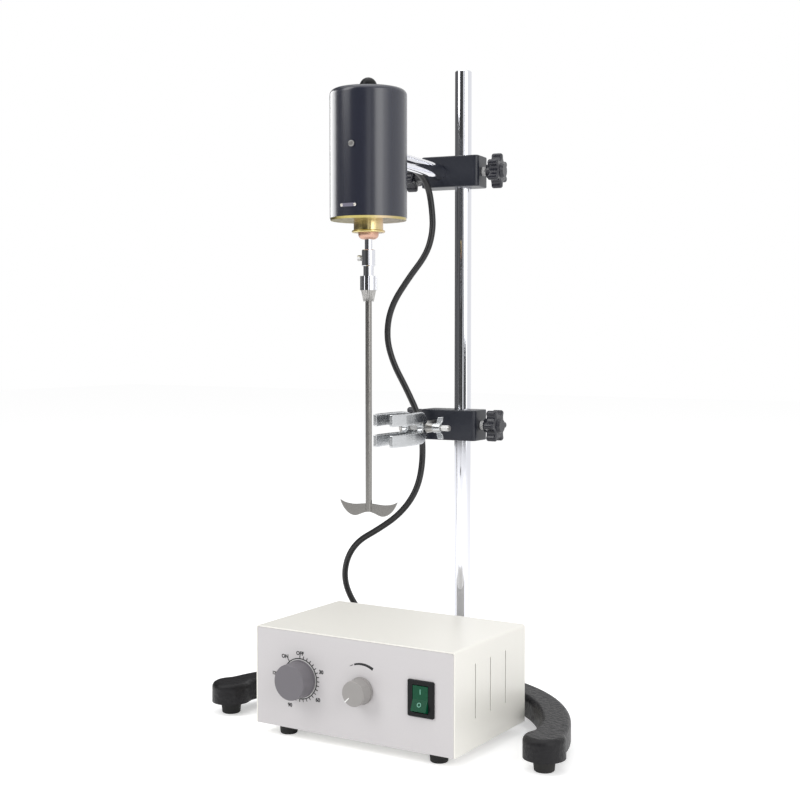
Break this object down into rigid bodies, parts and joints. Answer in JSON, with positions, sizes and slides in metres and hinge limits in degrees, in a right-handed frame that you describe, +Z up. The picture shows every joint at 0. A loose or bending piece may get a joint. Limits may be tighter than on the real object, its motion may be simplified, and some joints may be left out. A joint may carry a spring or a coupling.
{
  "type": "overhead stirrer",
  "caption": "Overhead stirrer: motor on an arm above a horseshoe stand, flask clamp on the column, and a control box with timer, speed dial and rocker switch.",
  "frame": {"origin": "on the floor under the column, at the middle of the rear foot's sole", "axes": "+Z up along the column, -Y towards the operator and the control panel, +X to the operator's right"},
  "size_m": [0.363, 0.2447, 0.61],
  "materials": {
    "black_iron": "fine-textured black enamel",
    "rubber": "black rubber",
    "chrome": "polished chrome",
    "steel": "plain steel",
    "stainless": "drawn stainless steel",
    "black_enamel": "black enamel",
    "bakelite": "black phenolic plastic",
    "motor_enamel": "dark blue-grey gloss enamel",
    "gold_zinc": "yellow-passivated zinc plate",
    "nickel": "nickel plate",
    "copper": "sintered bronze",
    "laminations": "stacked electrical steel",
    "aluminium": "cast aluminium",
    "cream_paint": "cream enamel",
    "grey_paint": "light grey enamel",
    "grey_plastic": "dark grey moulded plastic",
    "black_plastic": "black moulded plastic",
    "green_plastic": "green lit plastic",
    "board": "glass-fibre circuit board",
    "cord": "black flexible sheath"
  },
  "bodies": {
    "stand": {"base_casting": "black_iron", "base_feet": "rubber", "column": "chrome", "column_set_screw": "steel", "box_chassis": "cream_paint", "box_cover": "cream_paint", "front_panel": "grey_paint", "box_feet": "rubber", "cover_screws": "steel", "timer_body": "black_plastic", "potentiometer": "black_plastic", "switch_frame": "bakelite", "transformer": "laminations", "circuit_board": "board", "mains_inlet": "black_plastic", "cord_gland": "black_plastic", "motor_cord": "cord"},
    "upper_head": {"upper_clamp_block": "black_enamel"},
    "upper_column_clamp": {"upper_column_knob": "bakelite", "upper_column_screw": "chrome"},
    "upper_arm_clamp": {"upper_arm_knob": "bakelite", "upper_arm_screw": "chrome"},
    "motor": {"motor_housing": "motor_enamel", "housing_plug": "black_plastic", "housing_screw": "steel", "end_plate": "gold_zinc", "bearing_boss": "nickel", "nose_bush": "copper", "motor_bearings": "steel", "brush_bridge": "black_plastic", "stator": "laminations", "motor_arm": "chrome", "arm_nut": "steel", "cord_boot": "black_plastic"},
    "spindle": {"motor_shaft": "chrome", "armature": "laminations", "commutator": "copper", "coupling_sleeve": "chrome", "coupling_screw": "steel", "chuck_body": "chrome", "chuck_jaws": "steel", "stirring_rod": "stainless", "paddle": "stainless"},
    "chuck_ring": {"chuck_nut": "steel"},
    "lower_head": {"lower_clamp_block": "black_enamel"},
    "lower_column_clamp": {"lower_column_knob": "bakelite", "lower_column_screw": "chrome"},
    "lower_handle_clamp": {"lower_handle_knob": "bakelite", "lower_handle_screw": "chrome"},
    "flask_clamp": {"clamp_handle": "steel", "jaw_pin": "chrome"},
    "jaw_right": {"right_jaw": "aluminium"},
    "jaw_left": {"left_jaw": "aluminium"},
    "wing_screw": {"clamp_screw": "steel", "wing_nut": "steel"},
    "timer_dial": {"timer_knob": "grey_plastic", "timer_spindle": "steel"},
    "speed_dial": {"speed_knob": "grey_plastic", "speed_spindle": "steel"},
    "rocker": {"switch_rocker": "green_plastic"}
  },
  "joints": [
    {"name": "upper_head_slide", "type": "slide", "parent": "stand", "child": "upper_head", "axis": [0, 0, 1], "range_m": [-0.095, 0.08], "deforming": ["motor_cord"]},
    {"name": "upper_column_knob_turn", "type": "hinge", "parent": "upper_head", "child": "upper_column_clamp", "pos_m": [0.02674, 0.00373, 0.5135], "axis": [0.9904, 0.138, 0], "range_deg": [0, 180]},
    {"name": "upper_arm_knob_turn", "type": "hinge", "parent": "upper_head", "child": "upper_arm_clamp", "pos_m": [-0.04556, -0.00635, 0.5135], "axis": [-0.9904, -0.138, 0], "range_deg": [0, 180]},
    {"name": "motor_reach", "type": "slide", "parent": "upper_head", "child": "motor", "axis": [-0.138, 0.9904, 0], "range_m": [-0.015, 0.015]},
    {"name": "spindle_turn", "type": "hinge", "parent": "motor", "child": "spindle", "pos_m": [0.0047, -0.17503, 0.35], "axis": [0, 0, 1], "continuous": true},
    {"name": "chuck_nut_turn", "type": "hinge", "parent": "spindle", "child": "chuck_ring", "pos_m": [0.0047, -0.17503, 0.391], "axis": [0, 0, -1], "range_deg": [0, 180]},
    {"name": "lower_head_slide", "type": "slide", "parent": "stand", "child": "lower_head", "axis": [0, 0, 1], "range_m": [-0.06, 0.12]},
    {"name": "lower_column_knob_turn", "type": "hinge", "parent": "lower_head", "child": "lower_column_clamp", "pos_m": [0.02698, 0.00094, 0.27], "axis": [0.9994, 0.0349, 0], "range_deg": [0, 180]},
    {"name": "lower_handle_knob_turn", "type": "hinge", "parent": "lower_head", "child": "lower_handle_clamp", "pos_m": [-0.04597, -0.00161, 0.27], "axis": [-0.9994, -0.0349, 0], "range_deg": [0, 180]},
    {"name": "flask_clamp_roll", "type": "hinge", "parent": "lower_head", "child": "flask_clamp", "pos_m": [-0.02129, -0.02076, 0.27], "axis": [0.0349, -0.9994, 0], "range_deg": [-90, 90]},
    {"name": "right_jaw_swing", "type": "hinge", "parent": "flask_clamp", "child": "jaw_right", "pos_m": [-0.02045, -0.04474, 0.27], "axis": [0, 0, -1], "range_deg": [-2.2, 4.4]},
    {"name": "left_jaw_swing", "type": "hinge", "parent": "flask_clamp", "child": "jaw_left", "pos_m": [-0.02045, -0.04474, 0.27], "axis": [0, 0, 1], "range_deg": [-2.2, 4.4]},
    {"name": "clamp_screw_turn", "type": "hinge", "parent": "flask_clamp", "child": "wing_screw", "pos_m": [-0.02008, -0.05523, 0.27], "axis": [0.9994, 0.0349, 0], "range_deg": [-360, 180]},
    {"name": "timer_turn", "type": "hinge", "parent": "stand", "child": "timer_dial", "pos_m": [-0.054, -0.2, 0.0555], "axis": [0, -1, 0], "range_deg": [-273, 40]},
    {"name": "speed_turn", "type": "hinge", "parent": "stand", "child": "speed_dial", "pos_m": [0.0105, -0.2, 0.054], "axis": [0, -1, 0], "range_deg": [-270, 0]},
    {"name": "rocker_tip", "type": "hinge", "parent": "stand", "child": "rocker", "pos_m": [0.07, -0.1955, 0.0555], "axis": [1, 0, 0], "range_deg": [0, 22]}
  ],
  "couplings": [
    {"joint": "right_jaw_swing", "follows": "clamp_screw_turn", "ratio": -0.0121},
    {"joint": "left_jaw_swing", "follows": "clamp_screw_turn", "ratio": -0.0121}
  ]
}
